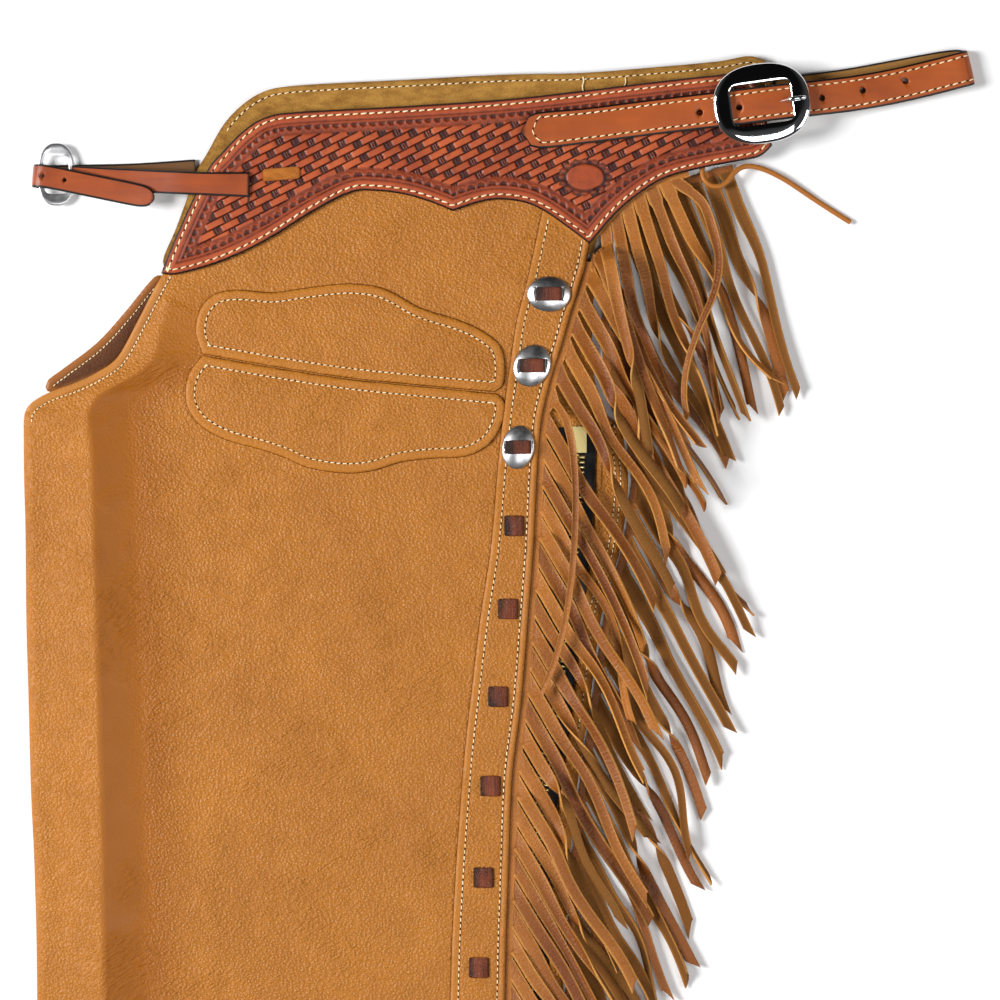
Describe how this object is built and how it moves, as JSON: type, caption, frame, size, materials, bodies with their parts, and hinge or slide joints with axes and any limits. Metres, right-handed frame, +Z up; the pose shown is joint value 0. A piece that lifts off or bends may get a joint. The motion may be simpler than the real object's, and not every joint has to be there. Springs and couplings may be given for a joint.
{
  "type": "fringed leather chaps",
  "caption": "Pair of full-length leather chaps folded leg on leg and laid flat, with tooled yoke, buckled belt, concho strip, side zip and long fringe.",
  "frame": {"origin": "centre of the bounding box's bottom face, on the surface the chaps lie on", "axes": "+Y from the hem towards the waist, +Z up from the surface, +X from the folded leg edge towards the fringe"},
  "size_m": [0.619, 1.0962, 0.0291],
  "materials": {
    "tan_leather": "pebbled, satin",
    "suede": "matt flesh side",
    "tooled_leather": "tooled, semi-gloss",
    "strap_leather": "smooth, semi-gloss",
    "lace_leather": "smooth, dark",
    "chrome": "polished",
    "brushed_steel": "brushed",
    "brass": "polished",
    "zip_tape": "woven, black"
  },
  "bodies": {
    "garment": {"near_leg": "tan_leather", "hidden_layers": "tan_leather", "near_back_panel": "tan_leather", "far_leg": "tan_leather", "near_yoke": "tooled_leather", "far_yoke": "tooled_leather", "far_lining": "suede", "keeper_tab": "suede", "concho_strip": "tan_leather", "pocket_upper": "tan_leather", "pocket_lower": "tan_leather", "belt": "strap_leather", "front_strap": "strap_leather", "front_billet": "strap_leather", "belt_buckle": "chrome", "belt_tongue": "chrome", "front_buckle": "brushed_steel", "concho_1": "brushed_steel", "concho_2": "brushed_steel", "concho_3": "brushed_steel", "concho_lace_1": "lace_leather", "concho_lace_2": "lace_leather", "concho_lace_3": "lace_leather", "zip_tape": "zip_tape", "zip_chain": "brass", "zip_box": "brass", "zip_slider": "brass", "fringe_far_leg": "suede", "fringe_far_yoke": "suede", "fringe_near_yoke": "tan_leather", "fringe_near_leg": "tan_leather", "thong": "tan_leather", "lace_01": "lace_leather", "lace_02": "lace_leather", "lace_03": "lace_leather", "lace_04": "lace_leather", "lace_05": "lace_leather", "lace_06": "lace_leather", "lace_07": "lace_leather", "lace_08": "lace_leather", "lace_09": "lace_leather", "lace_10": "lace_leather", "lace_11": "lace_leather", "lace_12": "lace_leather"},
    "pull_tab": {"zip_pull": "brass"}
  },
  "joints": [
    {"name": "zip_pull_hinge", "type": "hinge", "parent": "garment", "child": "pull_tab", "pos_m": [0.01573, -0.44975, 0.012], "axis": [-1, 0, 0], "range_deg": [0, 165]}
  ]
}
